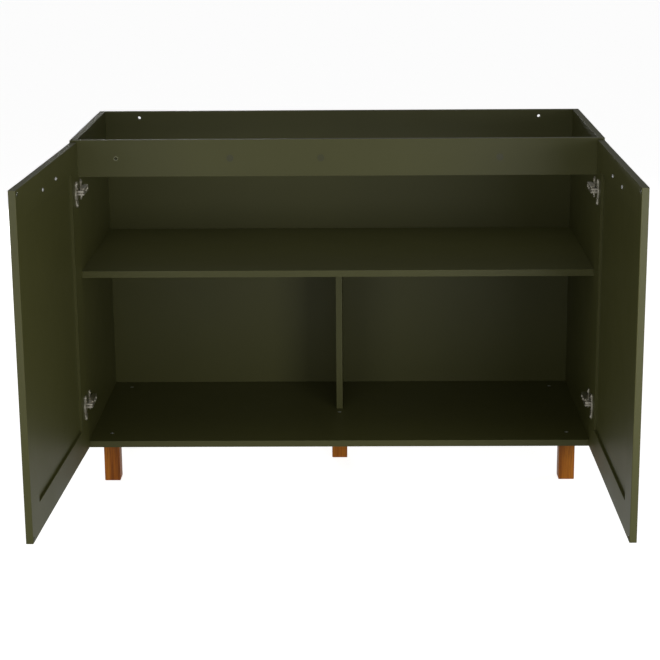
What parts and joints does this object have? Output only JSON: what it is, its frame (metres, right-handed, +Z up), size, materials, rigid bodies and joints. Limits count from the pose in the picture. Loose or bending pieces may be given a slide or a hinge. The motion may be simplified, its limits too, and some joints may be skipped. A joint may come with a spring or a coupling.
{
  "type": "sink base cabinet",
  "caption": "Wide kitchen sink base cabinet on short wooden legs, open at the top, with a fixed shelf, a lower divider and two framed doors on concealed hinges.",
  "frame": {"origin": "middle of the centre leg's foot, on the floor", "axes": "+Z up, +X to the right and +Y to the back, as seen from the front"},
  "size_m": [1.2825, 1.0836, 0.822],
  "materials": {
    "painted_board": "satin olive green paint on fibreboard",
    "painted_hardboard": "satin olive green paint on thin hardboard",
    "leg_wood": "honey brown stained and lacquered solid wood",
    "dowel_wood": "fluted beech",
    "hinge_nickel": "bright nickel plate",
    "screw_steel": "zinc plated",
    "zinc": "die cast zinc",
    "handle_metal": "brushed nickel",
    "cap_plastic": "satin olive green",
    "bumper_plastic": "clear soft plastic"
  },
  "bodies": {
    "carcass": {"side_panel_left": "painted_board", "side_panel_right": "painted_board", "bottom_panel": "painted_board", "shelf": "painted_board", "centre_divider": "painted_board", "front_rail": "painted_board", "rear_rail": "painted_board", "back_panel": "painted_hardboard", "leg_front_left": "leg_wood", "leg_front_right": "leg_wood", "leg_rear_left": "leg_wood", "leg_rear_right": "leg_wood", "leg_centre": "leg_wood", "leg_screws": "screw_steel", "dowels": "dowel_wood", "cam_bolts": "screw_steel", "cam_locks": "zinc", "rail_hole_caps": "cap_plastic", "back_panel_nails": "screw_steel", "hinge_plate_upper_left": "hinge_nickel", "hinge_plate_lower_left": "hinge_nickel", "hinge_arm_upper_left": "hinge_nickel", "hinge_arm_lower_left": "hinge_nickel", "hinge_plate_screws_left": "hinge_nickel", "hinge_adjusters_left": "hinge_nickel", "hinge_plate_upper_right": "hinge_nickel", "hinge_plate_lower_right": "hinge_nickel", "hinge_arm_upper_right": "hinge_nickel", "hinge_arm_lower_right": "hinge_nickel", "hinge_plate_screws_right": "hinge_nickel", "hinge_adjusters_right": "hinge_nickel"},
    "left_door": {"hinge_stile_left": "painted_board", "free_stile_left": "painted_board", "top_rail_left": "painted_board", "bottom_rail_left": "painted_board", "door_panel_left": "painted_board", "door_bumpers_left": "bumper_plastic", "handle_left": "handle_metal", "handle_screws_left": "screw_steel", "hinge_cup_upper_left": "hinge_nickel", "hinge_cup_lower_left": "hinge_nickel", "hinge_pins_left": "screw_steel", "hinge_cup_screws_left": "hinge_nickel"},
    "right_door": {"hinge_stile_right": "painted_board", "free_stile_right": "painted_board", "top_rail_right": "painted_board", "bottom_rail_right": "painted_board", "door_panel_right": "painted_board", "door_bumpers_right": "bumper_plastic", "handle_right": "handle_metal", "handle_screws_right": "screw_steel", "hinge_cup_upper_right": "hinge_nickel", "hinge_cup_lower_right": "hinge_nickel", "hinge_pins_right": "screw_steel", "hinge_cup_screws_right": "hinge_nickel"}
  },
  "joints": [
    {"name": "left_door_hinge", "type": "hinge", "parent": "carcass", "child": "left_door", "pos_m": [-0.591, -0.23, 0.458], "axis": [0, 0, -1], "range_deg": [-92.3, 7.7]},
    {"name": "right_door_hinge", "type": "hinge", "parent": "carcass", "child": "right_door", "pos_m": [0.591, -0.23, 0.458], "axis": [0, 0, 1], "range_deg": [-90.3, 9.7]}
  ]
}
